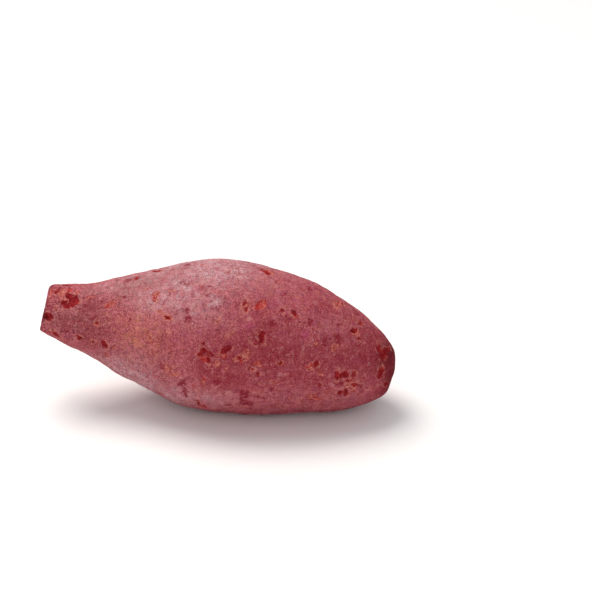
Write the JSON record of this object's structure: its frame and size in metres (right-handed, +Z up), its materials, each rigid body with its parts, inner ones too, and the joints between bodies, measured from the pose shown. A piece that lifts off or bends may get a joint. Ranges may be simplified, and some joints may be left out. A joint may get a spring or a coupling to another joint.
{
  "type": "purple sweet potato",
  "caption": "Whole raw purple sweet potato: a plump spindle-shaped root with a narrow trimmed neck and a blunt rounded tip, lying on its belly.",
  "frame": {"origin": "middle of the root's footprint box, on the surface that it lies on", "axes": "+X along the root from the trimmed neck to the blunt tip, +Z up"},
  "size_m": [0.1468, 0.0664, 0.0626],
  "materials": {
    "skin": "matte"
  },
  "bodies": {
    "root": {"sweet_potato": "skin"}
  },
  "joints": []
}
